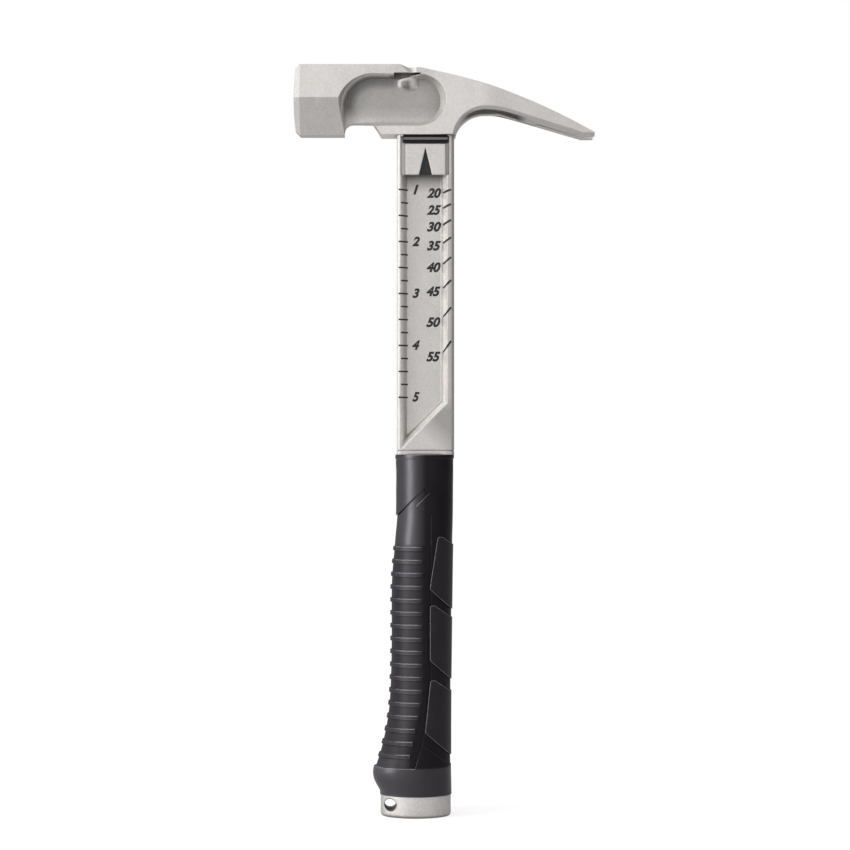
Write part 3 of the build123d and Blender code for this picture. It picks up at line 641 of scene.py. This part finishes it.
class HAMMER_OT_stage(bpy.types.Operator):
    """Add the floor, the soft light, the pale surroundings and the camera"""
    bl_idname = "hammer.stage"
    bl_label = "Stage"

    def seen(self, tree, share):
        """Factor of rays that see the white ground: all of the camera's, a share of the metal's."""
        path = add_node(tree, "ShaderNodeLightPath").outputs
        mirrored = add_node(tree, "ShaderNodeMath", {
            0: path["Is Glossy Ray"], 1: share}, operation="MULTIPLY")
        return strongest(tree, [path["Is Camera Ray"], path["Is Transmission Ray"], mirrored])

    def add_floor(self):
        """White paper that keeps the hammer's shadow and shows as white as its surroundings.

        Its fibres are drawn at 3 mm, coarser than real ones, so that they show.
        """
        bpy.ops.object.select_all(action="DESELECT")
        bpy.ops.mesh.primitive_plane_add(size=8.0, location=(0, 0, -0.02 * MM))
        floor = bpy.context.object
        floor.name = "floor"
        paper, tree, coords = new_material("white_paper_sweep")
        fibre = add_node(tree, "ShaderNodeTexNoise", {
            "Vector": coords, "Scale": per_mm(3), "Detail": 3.0, "Roughness": 0.6})
        tone = add_node(tree, "ShaderNodeMix", {
            0: fibre, 6: (0.4, 0.4, 0.4, 1), 7: (0.44, 0.44, 0.44, 1)}, data_type="RGBA").outputs[2]
        matt = add_node(tree, "ShaderNodeBsdfDiffuse", {"Color": tone})
        glow = add_node(tree, "ShaderNodeEmission", {"Strength": 0.7})
        lit = add_node(tree, "ShaderNodeAddShader", {0: matt, 1: glow})
        mixed = add_node(tree, "ShaderNodeMixShader", {0: self.seen(tree, 0.3), 1: matt, 2: lit})
        add_node(tree, "ShaderNodeOutputMaterial", {"Surface": mixed})
        floor.data.materials.append(paper)

    def add_surroundings(self, scene):
        """Surroundings that brighten towards the upper left, white where they are seen."""
        world = bpy.data.worlds.new("studio")
        world.use_nodes = True
        tree = world.node_tree
        tree.nodes.clear()
        direction = add_node(tree, "ShaderNodeTexCoord").outputs["Generated"]
        towards = add_node(tree, "ShaderNodeVectorMath", {
            0: direction, 1: (-0.55, -0.68, 0.48)}, operation="DOT_PRODUCT").outputs["Value"]
        glow = add_node(tree, "ShaderNodeMapRange", {
            "Value": towards, "From Min": -0.55, "From Max": 0.72, "To Min": 0.1, "To Max": 1.12},
            interpolation_type="SMOOTHSTEP")
        level = add_node(tree, "ShaderNodeMix", {0: self.seen(tree, 0.1), 2: glow, 3: 1.0})
        sky = add_node(tree, "ShaderNodeBackground", {"Color": (1, 1, 1, 1), "Strength": level})
        add_node(tree, "ShaderNodeOutputWorld", {"Surface": sky})
        scene.world = world

    def add_softbox(self):
        """Tall soft lamp at the front left, aimed at the middle of the hammer."""
        place = Vector((-1.04, -0.6, 0.4))
        bpy.ops.object.light_add(type="AREA", location=place)
        lamp = bpy.context.object
        lamp.name = "softbox"
        lamp.data.shape = "RECTANGLE"
        lamp.data.size = 0.5
        lamp.data.size_y = 1.3
        lamp.data.energy = 7.5
        lamp.rotation_euler = (Vector((0, 0, 0.2)) - place).to_track_quat("-Z", "Y").to_euler()
        lamp.visible_camera = False

    def execute(self, context):
        scene = context.scene
        scene.view_settings.view_transform = "Standard"
        self.add_floor()
        self.add_surroundings(scene)
        self.add_softbox()

        # Level camera at the photograph's distance and angle of view
        bpy.ops.object.camera_add(
            location=(-0.245 * MM, -1280 * MM, 192 * MM), rotation=(radians(90), 0, 0))
        camera = context.object
        camera.data.sensor_width = 36
        camera.data.lens = 110.1
        scene.camera = camera
        return {"FINISHED"}


class HAMMER_PT_panel(bpy.types.Panel):
    """Steps that dress the hammer"""
    bl_label = "Hammer"
    bl_space_type = "VIEW_3D"
    bl_region_type = "UI"
    bl_category = "Hammer"

    def draw(self, context):
        looks = context.scene.hammer_looks
        for name in looks.__annotations__:
            self.layout.prop(looks, name)
        for step in steps:
            self.layout.operator(step.bl_idname)


steps = (
    HAMMER_OT_finish_metal, HAMMER_OT_finish_rubber, HAMMER_OT_inch_rule, HAMMER_OT_angle_scale,
    HAMMER_OT_pointers, HAMMER_OT_stage)
classes = (HammerLooks, *steps, HAMMER_PT_panel)


def register():
    for item in classes:
        bpy.utils.register_class(item)
    bpy.types.Scene.hammer_looks = bpy.props.PointerProperty(type=HammerLooks)


def unregister():
    del bpy.types.Scene.hammer_looks
    for item in reversed(classes):
        bpy.utils.unregister_class(item)


def main():
    register()
    bpy.ops.hammer.finish_metal()
    bpy.ops.hammer.finish_rubber()
    bpy.ops.hammer.inch_rule()
    bpy.ops.hammer.angle_scale()
    bpy.ops.hammer.pointers()
    bpy.ops.hammer.stage()


if __name__ == "__main__":
    main()
